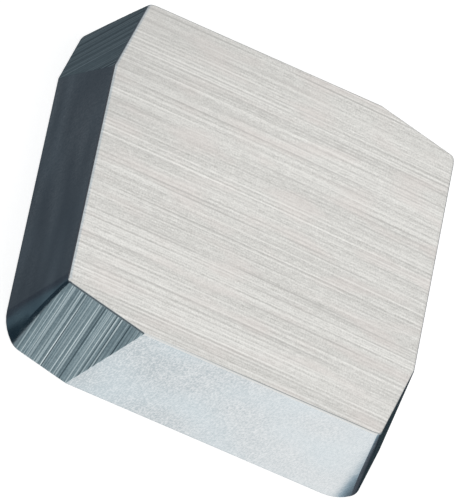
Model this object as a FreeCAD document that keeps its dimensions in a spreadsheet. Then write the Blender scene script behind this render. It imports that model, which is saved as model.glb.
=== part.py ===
import FreeCAD, Part
import math
import os
import Sketcher
from FreeCAD import Placement, Rotation, Vector

# Square milling insert in sintered carbide, right-hand, with four wiper facets.
#
# Frame, in millimetres: the larger face, whose outline is the cutting edge, lies on Z = 0
# with its centre at the origin. +Z runs through the thickness to the smaller seat face.
# The four main flanks face along X and Y, and lean in towards the seat face.

SIZES = [
    ("inscribed_circle", 12.7, "width across the main cutting edges, side to side"),
    ("thickness", 3.175, "from the cutting face to the seat face"),
    ("corner_radius", 1.6, "round of the pressed blank's corners at the cutting face"),
    ("flank_clearance", 11.0, "lean of the main flanks and the corners, degrees"),
    ("facet_turn", 14.0, "how far a wiper facet is turned off the main edge beside it, degrees"),
    ("facet_depth", 0.22, "how deep a facet is ground into the corner round, at the cutting face"),
    ("facet_clearance", 15.0, "lean of the wiper facets, degrees"),
    ("facet_count", 4, "wiper facets, one at each corner"),
    ("blend_at_cutting_face", 0.6, "round where a facet runs out into its corner, at the cutting face"),
    ("blend_at_seat_face", 0.2, "the same round at the seat face, where it is tighter"),
    ("seat_edge_break", 0.12, "round of the seat face's rim"),
    ("edge_hone", 0.03, "round of the cutting edge"),
    ("wheel_overrun", 1.0, "how far the grinding pass runs past the blank on every side"),
]

LABEL = "carbide_insert"
ANGLE_TOLERANCE = 0.01
GEOMETRY_TOLERANCE = 1e-4


def fill_sheet(doc):
    """Write the driving dimensions into a sheet, one alias to a cell."""
    sheet = doc.addObject("Spreadsheet::Sheet", "sizes")
    for row, (alias, value, note) in enumerate(SIZES, start=1):
        sheet.set(f"A{row}", alias)
        sheet.set(f"B{row}", str(value))
        sheet.set(f"C{row}", note)
        sheet.setAlias(f"B{row}", alias)
    doc.recompute()
    return sheet


def origin_feature(body, role):
    """The body's own origin plane or axis with this role."""
    for feature in body.Origin.OriginFeatures:
        if feature.Role == role:
            return feature
    raise ValueError(f"no origin feature {role}")


def add_sketch(body, name, role):
    """A sketch lying on one of the body's origin planes."""
    sketch = body.newObject("Sketcher::SketchObject", name)
    sketch.AttachmentSupport = (origin_feature(body, role), [""])
    sketch.MapMode = "FlatFace"
    return sketch


def bind(sketch, name, kind, where, expression):
    """Add a named dimension to a sketch and tie it to the sheet."""
    index = sketch.addConstraint(Sketcher.Constraint(kind, *where))
    sketch.renameConstraint(index, name)
    sketch.setExpression(f"Constraints.{name}", expression)
    return index


def rounded_square(body, sheet):
    """Outline of the blank at the cutting face: a square about the origin with round corners."""
    half = sheet.inscribed_circle / 2
    radius = sheet.corner_radius
    inner = half - radius
    sketch = add_sketch(body, "blank_outline", "XY_Plane")
    sides = []
    corners = []
    for quarter in range(4):
        turn = Rotation(Vector(0, 0, 1), 90 * quarter)
        start = turn.multVec(Vector(half, -inner, 0))
        end = turn.multVec(Vector(half, inner, 0))
        sides.append(sketch.addGeometry(Part.LineSegment(start, end)))
        centre = turn.multVec(Vector(inner, inner, 0))
        circle = Part.Circle(centre, Vector(0, 0, 1), radius)
        first = math.radians(90 * quarter)
        corners.append(sketch.addGeometry(Part.ArcOfCircle(circle, first, first + math.pi / 2)))
    for quarter in range(4):
        side = sides[quarter]
        corner = corners[quarter]
        following = sides[(quarter + 1) % 4]
        upright = "Vertical" if quarter % 2 == 0 else "Horizontal"
        sketch.addConstraint(Sketcher.Constraint(upright, side))
        sketch.addConstraint(Sketcher.Constraint("Tangent", side, 2, corner, 1))
        sketch.addConstraint(Sketcher.Constraint("Tangent", corner, 2, following, 1))
        if quarter:
            sketch.addConstraint(Sketcher.Constraint("Equal", corners[0], corner))
    sketch.addConstraint(Sketcher.Constraint("Symmetric", corners[0], 3, corners[2], 3, -1, 1))
    bind(sketch, "corner", "Radius", (corners[0], radius), "sizes.corner_radius")
    bind(sketch, "width", "DistanceX", (sides[2], 1, sides[0], 1, 2 * half), "sizes.inscribed_circle")
    bind(sketch, "depth", "DistanceY", (sides[3], 1, sides[1], 1, 2 * half), "sizes.inscribed_circle")
    return sketch


def facet_reach(sheet):
    """Distance from the axis to a wiper facet's edge, at the cutting face."""
    turn = math.radians(sheet.facet_turn)
    centre = sheet.inscribed_circle / 2 - sheet.corner_radius
    return centre * (math.cos(turn) + math.sin(turn)) + sheet.corner_radius - sheet.facet_depth


FACET_REACH = (
    "(sizes.inscribed_circle / 2 - sizes.corner_radius)"
    " * (cos(sizes.facet_turn * 1 deg) + sin(sizes.facet_turn * 1 deg))"
    " + sizes.corner_radius - sizes.facet_depth"
)


def facet_wedge(body, sheet):
    """Section of one grinding pass, in the upright plane square to the facet it cuts."""
    reach = facet_reach(sheet)
    slope = math.tan(math.radians(sheet.facet_clearance))
    over = sheet.wheel_overrun
    low = -over
    high = sheet.thickness + over
    outside = sheet.inscribed_circle
    sketch = add_sketch(body, "facet_section", "XZ_Plane")
    turned = Rotation(Vector(0, 1, 0), 90 - sheet.facet_turn)
    sketch.AttachmentOffset = Placement(Vector(0, 0, 0), turned)
    sketch.setExpression("AttachmentOffset.Rotation.Angle", "(90 - sizes.facet_turn) * 1 deg")
    points = [
        Vector(reach - low * slope, low, 0),
        Vector(outside, low, 0),
        Vector(outside, high, 0),
        Vector(reach - high * slope, high, 0),
    ]
    lines = []
    for start, end in zip(points, points[1:] + points[:1]):
        lines.append(sketch.addGeometry(Part.LineSegment(start, end)))
    bottom, outer, top, facet = lines
    for line, following in zip(lines, lines[1:] + lines[:1]):
        sketch.addConstraint(Sketcher.Constraint("Coincident", line, 2, following, 1))
    sketch.addConstraint(Sketcher.Constraint("Horizontal", bottom))
    sketch.addConstraint(Sketcher.Constraint("Vertical", outer))
    sketch.addConstraint(Sketcher.Constraint("Horizontal", top))
    edge = sketch.addGeometry(Part.Point(Vector(reach, 0, 0)), True)
    sketch.addConstraint(Sketcher.Constraint("PointOnObject", edge, 1, -1))
    sketch.addConstraint(Sketcher.Constraint("PointOnObject", edge, 1, facet))
    bind(sketch, "reach", "DistanceX", (-1, 1, edge, 1, reach), FACET_REACH)
    bind(sketch, "below", "DistanceY", (bottom, 1, -1, 1, over), "sizes.wheel_overrun")
    bind(sketch, "above", "DistanceY", (-1, 1, top, 1, high), "sizes.thickness + sizes.wheel_overrun")
    bind(sketch, "outside", "DistanceX", (-1, 1, outer, 1, outside), "sizes.inscribed_circle")
    lean = math.radians(90 + sheet.facet_clearance)
    bind(sketch, "lean", "Angle", (bottom, 1, facet, 2, lean), "(90 + sizes.facet_clearance) * 1 deg")
    return sketch


def surface_kind(face):
    return type(face.Surface).__name__


def outward(face):
    """Outward normal of a flat face."""
    return face.normalAt(0, 0)


def is_flat(face):
    return surface_kind(face) == "Plane"


def is_seat(face):
    return is_flat(face) and outward(face).z > 1 - GEOMETRY_TOLERANCE


def is_rake(face):
    return is_flat(face) and outward(face).z < GEOMETRY_TOLERANCE - 1


def is_side(face):
    return is_flat(face) and not is_seat(face) and not is_rake(face)


def is_facet(face):
    """A facet is the only side that faces neither along X nor along Y."""
    if not is_side(face):
        return False
    normal = outward(face)
    return abs(normal.x) > ANGLE_TOLERANCE and abs(normal.y) > ANGLE_TOLERANCE


def is_corner(face):
    return not is_flat(face)


def borders(shape, first, second):
    """Numbers of the edges where a face of one sort meets a face of the other."""
    numbers = []
    for number, edge in enumerate(shape.Edges, start=1):
        sides = shape.ancestorsOfType(edge, Part.Face)
        if len(sides) != 2:
            continue
        if first(sides[0]) and second(sides[1]) or first(sides[1]) and second(sides[0]):
            numbers.append(number)
    return numbers


def rim_edges(shape, test):
    """Names of all the edges round the one face that passes the test."""
    rim = borders(shape, test, lambda face: not test(face))
    return [f"Edge{number}" for number in rim]


def blend_corners(doc, sheet, base):
    """Round each border of facet and corner, wide at the cutting face and small at the seat."""
    rows = []
    for number in borders(base.Shape, is_facet, is_corner):
        edge = base.Shape.Edges[number - 1]
        radii = [sheet.blend_at_cutting_face, sheet.blend_at_seat_face]
        if edge.firstVertex().Point.z > edge.lastVertex().Point.z:
            radii.reverse()
        rows.append((number, *radii))
    blends = doc.addObject("Part::Fillet", "corner_blends")
    blends.Base = base
    blends.Edges = rows
    doc.recompute()
    return blends


def add_fillet(body, name, base, edges, radius):
    """Round these edges of the feature before, by a radius from the sheet."""
    fillet = body.newObject("PartDesign::Fillet", name)
    fillet.Base = (base, edges)
    fillet.setExpression("Radius", radius)
    body.Document.recompute()
    return fillet


def make_blank(doc, sheet):
    """Pressed blank with drafted sides and the four ground facets, its edges still sharp."""
    body = doc.addObject("PartDesign::Body", "ground_blank")
    outline = rounded_square(body, sheet)
    blank = body.newObject("PartDesign::Pad", "blank")
    blank.Profile = outline
    blank.setExpression("Length", "sizes.thickness")
    outline.Visibility = False
    doc.recompute()

    walls = [
        f"Face{number}"
        for number, face in enumerate(blank.Shape.Faces, start=1)
        if is_side(face) or is_corner(face)
    ]
    draft = body.newObject("PartDesign::Draft", "flank_draft")
    draft.Base = (blank, walls)
    draft.NeutralPlane = (origin_feature(body, "XY_Plane"), [""])
    draft.PullDirection = (origin_feature(body, "Z_Axis"), [""])
    draft.setExpression("Angle", "sizes.flank_clearance")
    doc.recompute()

    wedge = facet_wedge(body, sheet)
    facet = body.newObject("PartDesign::Pocket", "wiper_facet")
    facet.Profile = wedge
    facet.Type = "ThroughAll"
    facet.Midplane = True
    wedge.Visibility = False
    doc.recompute()

    facets = body.newObject("PartDesign::PolarPattern", "wiper_facets")
    facets.Originals = [facet]
    facets.Axis = (origin_feature(body, "Z_Axis"), [""])
    facets.Angle = 360
    facets.setExpression("Occurrences", "sizes.facet_count")
    body.Tip = facets
    doc.recompute()
    check_cuts(blank, draft, facet, facets)
    return body


def make_insert(doc, sheet):
    """The ground blank with blended corners, a broken seat rim and a honed cutting edge."""
    blends = blend_corners(doc, sheet, make_blank(doc, sheet))
    body = doc.addObject("PartDesign::Body", "insert")
    body.Label = LABEL
    body.BaseFeature = blends
    doc.recompute()
    start = body.Tip
    seat_rim = rim_edges(start.Shape, is_seat)
    broken = add_fillet(body, "seat_rim_round", start, seat_rim, "sizes.seat_edge_break")
    cutting_edge = rim_edges(broken.Shape, is_rake)
    add_fillet(body, "cutting_edge_hone", broken, cutting_edge, "sizes.edge_hone")
    return body


def check_cuts(blank, draft, facet, facets):
    """The draft and every facet have to take material away, the four facets alike."""
    drafted = blank.Shape.Volume - draft.Shape.Volume
    one = draft.Shape.Volume - facet.Shape.Volume
    every = draft.Shape.Volume - facets.Shape.Volume
    count = facets.Occurrences
    print(f"draft takes {drafted:.3f} mm3, one facet {one:.4f} mm3, {count} facets {every:.4f} mm3")
    if drafted <= 0 or one <= 0:
        raise ValueError("the draft or the facet cut nothing")
    if abs(every - count * one) > GEOMETRY_TOLERANCE * blank.Shape.Volume:
        raise ValueError("the facets are not alike")


def check(doc, parts):
    """Stop before anything is written if a feature failed or a solid is not sound."""
    for item in doc.Objects:
        if "Invalid" in item.State or "Error" in item.State:
            raise ValueError(f"{item.Name} failed: {item.State}")
    for part in parts:
        shape = part.Shape
        if shape.isNull() or not shape.isValid() or len(shape.Solids) != 1:
            raise ValueError(f"{part.Label} is not one sound solid")


def main():
    doc = FreeCAD.newDocument("milling_insert")
    sheet = fill_sheet(doc)
    parts = [make_insert(doc, sheet)]
    doc.recompute()
    check(doc, parts)
    os.makedirs("parts", exist_ok=True)
    for part in parts:
        box = part.Shape.BoundBox
        print(f"{part.Label}: {box.XLength:.4f} x {box.YLength:.4f} x {box.ZLength:.4f} mm, "
              f"{part.Shape.Volume:.3f} mm3, {len(part.Shape.Faces)} faces")
        part.Shape.exportStep(f"parts/{part.Label}.step")


main()
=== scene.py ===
import math

import bpy
from mathutils import Matrix, Vector


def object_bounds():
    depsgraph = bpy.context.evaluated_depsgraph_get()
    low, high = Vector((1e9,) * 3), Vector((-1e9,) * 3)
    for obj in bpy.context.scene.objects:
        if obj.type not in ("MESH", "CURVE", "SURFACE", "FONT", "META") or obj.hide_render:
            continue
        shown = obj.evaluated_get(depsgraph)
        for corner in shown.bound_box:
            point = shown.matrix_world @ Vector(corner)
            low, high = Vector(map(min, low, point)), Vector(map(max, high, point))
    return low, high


# Looks of a square milling insert: ground seat face, ground wiper facets, as-sintered flanks.
# Objects are in metres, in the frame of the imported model. Materials work in millimetres.

MM = 0.001
NODE = "carbide_insert"
WHITE = (1, 1, 1, 1)

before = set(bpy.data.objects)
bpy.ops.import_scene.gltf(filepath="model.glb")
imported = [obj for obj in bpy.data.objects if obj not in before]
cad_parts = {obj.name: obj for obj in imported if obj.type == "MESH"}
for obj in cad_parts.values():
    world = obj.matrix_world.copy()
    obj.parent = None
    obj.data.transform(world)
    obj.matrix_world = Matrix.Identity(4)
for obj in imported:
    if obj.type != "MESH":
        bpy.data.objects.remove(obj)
cad_low, cad_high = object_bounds()

# The insert's own sizes, as its material masks need them, in millimetres
THICKNESS = cad_high.z / MM
HALF_WIDTH = 6.35
CORNER_RADIUS = 1.6
CORNER_CENTRE = HALF_WIDTH - CORNER_RADIUS
FLANK_SLOPE = math.tan(math.radians(11))
FACET_SLOPE = math.tan(math.radians(15))
FACET_TURN = math.radians(14)
FACET_DEPTH = 0.22
FACET_REACH = (
    CORNER_CENTRE * (math.cos(FACET_TURN) + math.sin(FACET_TURN)) + CORNER_RADIUS - FACET_DEPTH
)
QUARTER = math.pi / 2
FACET_OUT = (math.sin(FACET_TURN), math.cos(FACET_TURN))
FACET_ALONG = (-math.cos(FACET_TURN), math.sin(FACET_TURN))

# Camera of the photograph: azimuth 0 looks along +Y, and roll turns it about its own axis
CAMERA_AZIMUTH = math.radians(-26.772)
CAMERA_ELEVATION = math.radians(50.4585)
CAMERA_ROLL = math.radians(44.8506)
CAMERA_DISTANCE = 293.29 * MM
CAMERA_OFFSET = (0.3142 * MM, 0.4392 * MM)
CAMERA_LENS = 691.53
CAMERA_CLIP = (10 * MM, 5)
SENSOR = 36.0


def make_camera():
    """The photograph's long lens, looking down on the seat face."""
    back = Vector((
        math.sin(CAMERA_AZIMUTH) * math.cos(CAMERA_ELEVATION),
        -math.cos(CAMERA_AZIMUTH) * math.cos(CAMERA_ELEVATION),
        math.sin(CAMERA_ELEVATION),
    ))
    level = Vector((math.cos(CAMERA_AZIMUTH), math.sin(CAMERA_AZIMUTH), 0))
    upright = back.cross(level)
    right = math.cos(CAMERA_ROLL) * level + math.sin(CAMERA_ROLL) * upright
    up = back.cross(right)
    centre = back * CAMERA_DISTANCE + right * CAMERA_OFFSET[0] + up * CAMERA_OFFSET[1]
    data = bpy.data.cameras.new("photo_camera")
    data.sensor_width = SENSOR
    data.lens = CAMERA_LENS
    data.clip_start, data.clip_end = CAMERA_CLIP
    camera = bpy.data.objects.new("photo_camera", data)
    turn = Matrix((right, up, back)).transposed()
    camera.matrix_world = Matrix.Translation(centre) @ turn.to_4x4()
    bpy.context.scene.collection.objects.link(camera)
    bpy.context.scene.camera = camera


# Noise of each layer of marks lies this far from that of the layer before
LAYER_STEP = 3.7

# Scratches: where a line may lie in its strip, how far its breaks are shifted, and where it breaks
SCRATCH_PLACE = (0.25, 0.75)
SCRATCH_SHIFT = 40.0
SCRATCH_BREAKS = (0.35, 0.55)


class Nodes:
    """Short calls that add a node to a tree and return the socket it puts out."""

    def __init__(self, tree):
        self.tree = tree
        tree.nodes.clear()

    def add(self, kind, inputs=None, **settings):
        """A node of this kind: settings are its properties, inputs its sockets by name or number."""
        node = self.tree.nodes.new(kind)
        for name, value in settings.items():
            setattr(node, name, value)
        for key, value in (inputs or {}).items():
            socket = node.inputs[key]
            if isinstance(value, bpy.types.NodeSocket):
                self.tree.links.new(value, socket)
            else:
                socket.default_value = value
        return node

    def math(self, operation, first, second=0.0, third=0.0):
        node = self.add("ShaderNodeMath", {0: first, 1: second, 2: third}, operation=operation)
        return node.outputs[0]

    def total(self, *pairs):
        """Sum of value times weight."""
        value = 0.0
        for part, weight in pairs:
            value = self.math("MULTIPLY_ADD", part, weight, value)
        return value

    def dot(self, vector, direction):
        node = self.add(
            "ShaderNodeVectorMath", {0: vector, 1: tuple(direction)}, operation="DOT_PRODUCT"
        )
        return node.outputs["Value"]

    def smooth(self, value, low, high, out_low=0.0, out_high=1.0):
        """Soft step of value from low to high."""
        inputs = {"Value": value, "From Min": low, "From Max": high,
                  "To Min": out_low, "To Max": out_high}
        node = self.add("ShaderNodeMapRange", inputs, interpolation_type="SMOOTHSTEP")
        return node.outputs["Result"]

    def spread(self, value, low, high, out_low=0.0, out_high=1.0):
        """Straight-line change of range, held at its ends."""
        inputs = {"Value": value, "From Min": low, "From Max": high,
                  "To Min": out_low, "To Max": out_high}
        return self.add("ShaderNodeMapRange", inputs).outputs["Result"]

    def mix(self, factor, first, second):
        """Colour mix of two colours or colour sockets."""
        node = self.add("ShaderNodeMix", {0: factor, 6: first, 7: second}, data_type="RGBA")
        return node.outputs[2]

    def blend(self, factor, first, second):
        """Mix of two normals."""
        node = self.add("ShaderNodeMix", {0: factor, 4: first, 5: second}, data_type="VECTOR")
        return node.outputs[1]

    def split(self, vector):
        return self.add("ShaderNodeSeparateXYZ", {0: vector}).outputs

    def noise(self, x, y, z):
        """Noise at a place whose coordinates are already scaled to the size of its grain."""
        place = self.add("ShaderNodeCombineXYZ", {0: x, 1: y, 2: z}).outputs[0]
        inputs = {"Vector": place, "Scale": 1.0, "Detail": 0.0}
        return self.add("ShaderNodeTexNoise", inputs).outputs[0]

    def streaks(self, across, along, width, length, seed):
        """Noise about zero, drawn out into lines of this width and length in millimetres."""
        x = self.math("MULTIPLY", across, 1 / width)
        y = self.math("MULTIPLY", along, 1 / length)
        return self.math("SUBTRACT", self.noise(x, y, seed), 0.5)

    def marks(self, across, along, layers, seed):
        """Sum of streaks, each layer with its width, its length and its strength."""
        value = 0.0
        for number, (width, length, strength) in enumerate(layers):
            line = self.streaks(across, along, width, length, seed + LAYER_STEP * number)
            value = self.math("MULTIPLY_ADD", line, strength, value)
        return value

    def scratches(self, across, along, strip, half_width, length, seed):
        """Separate thin lines, one to a strip, each with its own place, strength and breaks."""
        place = self.math("MULTIPLY", across, 1 / strip)
        number = self.math("FLOOR", place)
        inside = self.math("SUBTRACT", place, number)
        chance = self.add(
            "ShaderNodeTexWhiteNoise",
            {"W": self.math("ADD", number, seed)},
            noise_dimensions="1D",
        ).outputs["Color"]
        where, strength, start = self.split(chance)
        centre = self.spread(where, 0.0, 1.0, *SCRATCH_PLACE)
        away = self.math("ABSOLUTE", self.math("SUBTRACT", inside, centre))
        line = self.smooth(away, half_width / strip, 0.0)
        shift = self.math("MULTIPLY", start, SCRATCH_SHIFT)
        along = self.math("MULTIPLY_ADD", along, 1 / length, shift)
        broken = self.spread(self.noise(along, number, seed), *SCRATCH_BREAKS)
        return self.math("MULTIPLY", self.math("MULTIPLY", line, strength), broken)

    def relief(self, height):
        """Normal of a surface raised by this height in millimetres."""
        inputs = {"Height": height, "Distance": 1 * MM, "Strength": 1.0}
        return self.add("ShaderNodeBump", inputs).outputs[0]


def colour(red, green, blue):
    """A colour given as it looks on screen, 0 to 255, in the linear values that shaders take."""
    return tuple(
        (c / 255 / 12.92) if c / 255 <= 0.04045 else ((c / 255 + 0.055) / 1.055) ** 2.4
        for c in (red, green, blue)
    ) + (1.0,)


def direction(azimuth, elevation):
    """Unit vector, from an angle in degrees from +X towards +Y and one above the floor."""
    a, e = math.radians(azimuth), math.radians(elevation)
    return (math.cos(a) * math.cos(e), math.sin(a) * math.cos(e), math.sin(e))


# Studio that the metal mirrors, as soft-edged cards drawn one over the other: azimuth, elevation,
# half angles of the full and of the fading part in degrees, and colour
STUDIO_BASE = (0.053, 0.062, 0.079, 1)
STUDIO_CARDS = [
    (-5, 4, 20, 42, (0.40, 0.44, 0.48, 1)),
    (95, 0, 20, 40, (0.40, 0.44, 0.48, 1)),
    (180, 2, 12, 30, (0.36, 0.40, 0.44, 1)),
    (-176, 34, 24, 42, (0.80, 0.82, 0.84, 1)),
    (-10, 34, 26, 44, (0.88, 0.88, 0.88, 1)),
    (-75, -28, 30, 58, (0.33, 0.45, 0.53, 1)),
    (-75, -28, 22, 39, WHITE),
    (-66, 40, 20, 50, (0.95, 0.98, 1.0, 1)),
    (-102, 26, 8, 20, (0.30, 0.35, 0.38, 1)),
    (-114, -22, 20, 32, (0.378, 0.428, 0.448, 1)),
    (-97, 8, 10, 20, (0.15, 0.18, 0.19, 1)),
    (112, -37, 8, 22.6, (0.110, 0.131, 0.146, 1)),
    (168, -34, 6, 16, (0.090, 0.135, 0.162, 1)),
    (-163, -29, 16, 24, (0.017, 0.035, 0.049, 1)),
    (54, -50, 14, 30, (0.012, 0.025, 0.032, 1)),
    (100, 80, 50, 72, WHITE),
    (63, 40, 32, 48, WHITE),
    (50, 15, 22, 36, (0.92, 0.92, 0.92, 1)),
    (132, 42, 16, 34, (0.72, 0.80, 0.87, 1)),
]
FLOOR_LIGHT = 0.55


def make_world():
    """White to the camera, an even pale level on the floor, and the studio cards in the metal."""
    world = bpy.data.worlds.new("studio")
    bpy.context.scene.world = world
    world.use_nodes = True
    n = Nodes(world.node_tree)
    ray = n.add("ShaderNodeTexCoord").outputs["Generated"]
    look = STUDIO_BASE
    for azimuth, elevation, inner, outer, shade in STUDIO_CARDS:
        facing = n.dot(ray, direction(azimuth, elevation))
        inside = n.smooth(facing, math.cos(math.radians(outer)), math.cos(math.radians(inner)))
        look = n.mix(inside, look, shade)
    studio = n.add("ShaderNodeBackground", {"Color": look, "Strength": 1.0}).outputs[0]
    even = n.add("ShaderNodeBackground", {"Color": WHITE, "Strength": FLOOR_LIGHT}).outputs[0]
    plain = n.add("ShaderNodeBackground", {"Color": WHITE, "Strength": 1.0}).outputs[0]
    path = n.add("ShaderNodeLightPath").outputs
    lit = n.add("ShaderNodeMixShader", {0: path["Is Glossy Ray"], 1: even, 2: studio}).outputs[0]
    seen = n.add("ShaderNodeMixShader", {0: path["Is Camera Ray"], 1: lit, 2: plain}).outputs[0]
    n.add("ShaderNodeOutputWorld", {"Surface": seen})


FLOOR_HALF = 1.5
FLOOR_COLOUR = (0.62, 0.62, 0.62, 1)
FLOOR_LIFT = 0.66


def make_floor():
    """Plain pale floor that stays white in the picture and keeps a trace of the insert's shadow."""
    half = FLOOR_HALF
    mesh = bpy.data.meshes.new("floor")
    corners = [(-half, -half, 0), (half, -half, 0), (half, half, 0), (-half, half, 0)]
    mesh.from_pydata(corners, [], [(0, 1, 2, 3)])
    floor = bpy.data.objects.new("floor", mesh)
    bpy.context.scene.collection.objects.link(floor)
    floor.visible_glossy = False
    material = bpy.data.materials.new("floor_white")
    material.use_nodes = True
    n = Nodes(material.node_tree)
    paper = n.add("ShaderNodeBsdfDiffuse", {"Color": FLOOR_COLOUR}).outputs[0]
    glow = n.add("ShaderNodeEmission", {"Color": WHITE, "Strength": FLOOR_LIFT}).outputs[0]
    nothing = n.add("ShaderNodeEmission", {"Strength": 0.0}).outputs[0]
    camera_ray = n.add("ShaderNodeLightPath").outputs["Is Camera Ray"]
    lift = n.add("ShaderNodeMixShader", {0: camera_ray, 1: nothing, 2: glow}).outputs[0]
    both = n.add("ShaderNodeAddShader", {0: paper, 1: lift}).outputs[0]
    n.add("ShaderNodeOutputMaterial", {"Surface": both})
    mesh.materials.append(material)


LAMP_SIZE = 0.25
LAMP_POWER = 0.22
LAMP_PLACE = Vector(direction(-35, 60)) * 0.3


def make_lamp():
    """One large soft lamp above and to the camera's right, for the shadow on the floor."""
    data = bpy.data.lights.new("softbox", "AREA")
    data.shape = "DISK"
    data.size = LAMP_SIZE
    data.energy = LAMP_POWER
    lamp = bpy.data.objects.new("softbox", data)
    lamp.location = LAMP_PLACE
    lamp.rotation_mode = "QUATERNION"
    lamp.rotation_quaternion = LAMP_PLACE.to_track_quat("Z", "Y")
    lamp.visible_glossy = False
    bpy.context.scene.collection.objects.link(lamp)


# Where the finishes meet, in millimetres below the seat face, and above the floor for the rake
# face: start, end and, for a finish that fades out, its share at either.
SEAT_BAND = (0.020, 0.034, 1.0, 0.0)
RAKE_BAND = (0.002, 0.009, 1.0, 0.0)
RIM_BAND = (0.088, 0.102, 1.0, 0.0)
RIM_GROUND_BAND = (0.030, 0.055)

# Painted shade: a fine dark line under the seat's rim on its -Y side: its upper and lower edge, and
# how it comes in along X
SHADE_LINE_TOP = (0.020, 0.028)
SHADE_LINE_FOOT = (0.040, 0.048, 1.0, 0.0)
SHADE_LINE_STRETCH = (-3.5, 1.5, 0.25, 1.0)

# Ground finish of a facet: its edge, and how far it runs out over the blend beside the cone,
# which lies where the run along the facet is below CONE_SIDE
STRIPE_EDGE = 0.006
CONE_SIDE = -3.3
CONE_OVERRUN = 0.062
CONE_FADE = 0.10

# Finishes. Colours are as they look on screen. Marks are width, length and strength, and
# scratches are strip, half width, length, strength, colour and seed.
SEAT_DARK = colour(172, 171, 167)
SEAT_LIGHT = colour(255, 254, 250)
SEAT_LEAN = 0.0192
SEAT_BEND = 0.00165
SEAT_SEED = 1.0
SEAT_MARKS = [
    (0.055, 14.0, 0.34),
    (0.085, 10.0, 0.30),
    (1.100, 12.0, 0.15),
    (0.055, 0.30, 0.34),
    (0.050, 0.050, 0.50),
]
SEAT_SCRATCHES = [
    (0.150, 0.056, 3.5, 0.62, colour(172, 170, 167), 31.0),
    (0.130, 0.052, 4.5, 0.58, colour(248, 247, 243), 267.0),
]
SEAT_WARM = colour(226, 217, 213)
SEAT_WARM_PATCH = (0.6, 1.8, 37.0)
SEAT_WARM_SHARE = (0.0, 0.22, 0.0, 0.36)
# Painted shade: the seat face is darkened towards its -X +Y corner, where y - x runs from 2 to 11 mm
SEAT_PAINTED_SHADE = colour(184, 183, 180)
SEAT_PAINTED_SHADE_SHARE = (2.0, 11.0, 0.0, 0.36)
SEAT_RELIEF = 0.0012

FACET_BODY = colour(190, 206, 211)
FACET_SHADE = colour(154, 171, 178)
FACET_LINE_SLOPE = math.tan(math.radians(5.6))
FACET_LINE_SHIFT = 7.3
FACET_LINES = [
    (0.045, 6.0, 1.10),
    (0.100, 8.0, 0.40),
]
FACET_LINES_SEED = 2.0
FACET_GRAIN = [
    (0.060, 0.08, 0.80),
    (0.200, 0.30, 0.30),
]
FACET_GRAIN_SEED = 9.4
FACET_SCRATCHES = [
    (0.110, 0.036, 9.0, 1.45, colour(92, 108, 117), 541.0),
    (0.120, 0.030, 9.0, 2.15, colour(238, 248, 250), 773.0),
]
FACET_RELIEF = 0.009
FACET_RELIEF_FROM = (0.04, 0.20)

FLANK_PALE = colour(255, 255, 255)
FLANK_DEEP = colour(190, 199, 203)
# Flank tone level, 0.42, with painted shade that lowers it to 0.10 where x + y falls from -3 to -11
# mm, towards the corner at -X -Y
FLANK_TONE_AND_PAINTED_SHADE = (-3.0, -11.0, 0.42, 0.10)
FLANK_SEED = 3.0
FLANK_MARKS = [
    (0.120, 1.20, 0.20),
    (0.046, 0.075, 1.20),
    (0.130, 0.22, 0.17),
    (0.500, 0.90, 0.14),
]
FLANK_COARSE = (-5.0, 5.0, 1.0, 0.34)
FLANK_COOL = colour(216, 229, 235)
FLANK_CLOUD = (2.2, 1.4, 47.0)
FLANK_CLOUD_SHARE = (-0.1, 0.2, 0.0, 0.36)
FLANK_DULL = colour(160, 170, 178)
FLANK_STREAK = (2.6, 0.55, 53.0)
FLANK_STREAK_SHARE = (0.25, -0.25, 0.0, 2.0)
FLANK_STREAK_STRENGTH = 0.28
FLANK_RELIEF = 0.003

RIM_PALE = colour(232, 231, 228)
# Painted shade: colour of the fine dark line under the seat's rim on the -Y side
RIM_PAINTED_SHADE = colour(150, 152, 152)
RIM_GROUND = colour(168, 176, 182)

ROUGH_SEAT = 0.32
ROUGH_FACET = 0.24
ROUGH_FLANK = 0.22


def fold(n, place, rounding):
    """A place turned back about Z by whole quarters, and how many: FLOOR by corner, ROUND by side."""
    x, y, _ = n.split(place)
    quarter = n.math(rounding, n.math("DIVIDE", n.math("ARCTAN2", y, x), QUARTER))
    inputs = {"Vector": place, "Angle": n.math("MULTIPLY", quarter, -QUARTER)}
    turned = n.add("ShaderNodeVectorRotate", inputs, rotation_type="Z_AXIS").outputs[0]
    return turned, quarter


def ground_facets(n, place):
    """Whether a place is on a ground facet, how deep it was cut, and the run along its edge."""
    folded, quarter = fold(n, place, "FLOOR")
    u, v, height = n.split(folded)
    facet = n.math("SUBTRACT", n.dot(folded, (*FACET_OUT, FACET_SLOPE)), FACET_REACH)
    past_u = n.math("MAXIMUM", n.math("SUBTRACT", u, CORNER_CENTRE), 0.0)
    past_v = n.math("MAXIMUM", n.math("SUBTRACT", v, CORNER_CENTRE), 0.0)
    round_u = n.math("MULTIPLY", past_u, past_u)
    reach = n.math("SQRT", n.math("MULTIPLY_ADD", past_v, past_v, round_u))
    blank = n.math("ADD", reach, n.math("MULTIPLY_ADD", height, FLANK_SLOPE, -CORNER_RADIUS))
    run = n.dot(folded, (*FACET_ALONG, 0))
    at_cone = n.math("LESS_THAN", run, CONE_SIDE)
    overrun = n.math("MULTIPLY", at_cone, CONE_OVERRUN)
    depth = n.math("ADD", n.math("SUBTRACT", facet, blank), overrun)
    fade = n.math("MULTIPLY", at_cone, CONE_FADE)
    ground = n.smooth(depth, -STRIPE_EDGE, fade)
    leaning = n.math("MULTIPLY_ADD", height, FACET_LINE_SLOPE, run)
    shifted = n.math("MULTIPLY_ADD", quarter, FACET_LINE_SHIFT, leaning)
    return ground, depth, shifted


def scratched(n, tint, across, along, layers):
    """A tint with layers of separate lines laid over it."""
    for strip, half_width, length, strength, shade, seed in layers:
        line = n.scratches(across, along, strip, half_width, length, seed)
        tint = n.mix(n.math("MULTIPLY", line, strength), tint, shade)
    return tint


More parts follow.
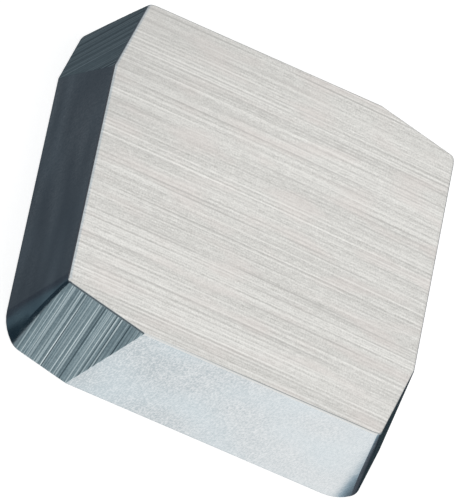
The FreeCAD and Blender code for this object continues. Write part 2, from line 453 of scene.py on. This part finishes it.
def seat_finish_and_shade(n, x, y):
    """Long fine grinding lines across a face, bending a little, in lighter and darker streaks, with
    painted shade towards its -X +Y corner.
    """
    bend = n.math("MULTIPLY", n.math("MULTIPLY_ADD", x, SEAT_BEND, SEAT_LEAN), x)
    across = n.math("ADD", y, bend)
    tone = n.marks(across, x, SEAT_MARKS, SEAT_SEED)
    warm = n.streaks(across, x, *SEAT_WARM_PATCH)
    tint = n.mix(n.math("ADD", tone, 0.5), SEAT_DARK, SEAT_LIGHT)
    tint = n.mix(n.spread(warm, *SEAT_WARM_SHARE), tint, SEAT_WARM)
    corner = n.math("SUBTRACT", y, x)
    # Painted shade towards the seat's -X +Y corner
    tint = n.mix(n.smooth(corner, *SEAT_PAINTED_SHADE_SHARE), tint, SEAT_PAINTED_SHADE)
    tint = scratched(n, tint, across, x, SEAT_SCRATCHES)
    return tint, n.relief(n.math("MULTIPLY", tone, SEAT_RELIEF))


def facet_finish(n, run, height, depth):
    """Strong grinding lines that run up the facet from the cutting edge."""
    lines = n.marks(run, height, FACET_LINES, FACET_LINES_SEED)
    tone = n.math("ADD", lines, n.marks(run, height, FACET_GRAIN, FACET_GRAIN_SEED))
    tint = n.mix(n.math("ADD", tone, 0.5), FACET_SHADE, FACET_BODY)
    tint = scratched(n, tint, run, height, FACET_SCRATCHES)
    inside = n.smooth(depth, *FACET_RELIEF_FROM)
    return tint, n.relief(n.math("MULTIPLY", n.math("MULTIPLY", lines, inside), FACET_RELIEF))


def flank_finish_and_shade(n, place):
    """Fine orange peel of the sintered skin, coarser at one end of each flank, with painted shade
    darkening it towards the corner at -X -Y.
    """
    x, y, z = n.split(place)
    along = n.math("SUBTRACT", x, y)
    folded, _ = fold(n, place, "ROUND")
    coarse = n.spread(n.split(folded)[1], *FLANK_COARSE)
    tone = n.math("MULTIPLY", n.marks(along, z, FLANK_MARKS, FLANK_SEED), coarse)
    # Painted shade: the flank tint darkens towards the corner at -X -Y
    level = n.spread(n.math("ADD", x, y), *FLANK_TONE_AND_PAINTED_SHADE)
    tint = n.mix(n.math("ADD", tone, level), FLANK_DEEP, FLANK_PALE)
    cloud = n.streaks(along, z, *FLANK_CLOUD)
    tint = n.mix(n.spread(cloud, *FLANK_CLOUD_SHARE), tint, FLANK_COOL)
    dull = n.math("MULTIPLY", n.math("LESS_THAN", x, -CORNER_CENTRE), FLANK_STREAK_STRENGTH)
    streak = n.spread(n.streaks(along, z, *FLANK_STREAK), *FLANK_STREAK_SHARE)
    tint = n.mix(n.math("MULTIPLY", streak, dull), tint, FLANK_DULL)
    return tint, n.relief(n.math("MULTIPLY", tone, FLANK_RELIEF))


def rim_finish_and_shade(n, x, y, below, ground):
    """Smooth broken edge round the seat face, with a fine painted shade line along its -Y side."""
    top = n.smooth(below, *SHADE_LINE_TOP)
    foot = n.smooth(below, *SHADE_LINE_FOOT)
    side = n.math("LESS_THAN", y, -CORNER_CENTRE)
    stretch = n.smooth(x, *SHADE_LINE_STRETCH)
    # Painted shade line: only on the -Y side, coming in along X
    line = n.math("MULTIPLY", n.math("MULTIPLY", top, foot), n.math("MULTIPLY", side, stretch))
    plain = n.add("ShaderNodeNewGeometry").outputs["Normal"]
    cut = n.math("MULTIPLY", ground, n.smooth(below, *RIM_GROUND_BAND))
    return n.mix(line, n.mix(cut, RIM_PALE, RIM_GROUND), RIM_PAINTED_SHADE), plain


def make_carbide():
    """One metal for the whole insert; ground and sintered stretches are told apart by place."""
    material = bpy.data.materials.new("cemented_carbide")
    material.use_nodes = True
    n = Nodes(material.node_tree)
    place = n.add("ShaderNodeTexCoord").outputs["Object"]
    place = n.add("ShaderNodeVectorMath", {0: place, 3: 1 / MM}, operation="SCALE").outputs[0]
    x, y, height = n.split(place)
    below = n.math("SUBTRACT", THICKNESS, height)
    ground, depth, run = ground_facets(n, place)
    seat = n.math("MAXIMUM", n.smooth(below, *SEAT_BAND), n.smooth(height, *RAKE_BAND))
    rim = n.smooth(below, *RIM_BAND)

    seat_tint_and_shade, seat_normal = seat_finish_and_shade(n, x, y)
    facet_tint, facet_normal = facet_finish(n, run, height, depth)
    flank_tint_and_shade, flank_normal = flank_finish_and_shade(n, place)
    rim_tint_and_shade, rim_normal = rim_finish_and_shade(n, x, y, below, ground)

    tint = n.mix(ground, flank_tint_and_shade, facet_tint)
    tint = n.mix(seat, n.mix(rim, tint, rim_tint_and_shade), seat_tint_and_shade)
    normal = n.blend(ground, flank_normal, facet_normal)
    normal = n.blend(seat, n.blend(rim, normal, rim_normal), seat_normal)
    on_facet = n.math("MULTIPLY", ground, n.math("SUBTRACT", 1.0, rim))
    rough = n.total((on_facet, ROUGH_FACET - ROUGH_FLANK), (seat, ROUGH_SEAT - ROUGH_FLANK))
    rough = n.math("ADD", rough, ROUGH_FLANK)
    shader = n.add(
        "ShaderNodeBsdfPrincipled",
        {"Base Color": tint, "Metallic": 1.0, "Roughness": rough, "Normal": normal},
    )
    n.add("ShaderNodeOutputMaterial", {"Surface": shader.outputs[0]})
    return material


def dress_insert():
    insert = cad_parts[NODE]
    insert.material_slots[0].material = make_carbide()


make_camera()
make_world()
make_floor()
make_lamp()
dress_insert()
bpy.context.scene.view_settings.view_transform = "Standard"
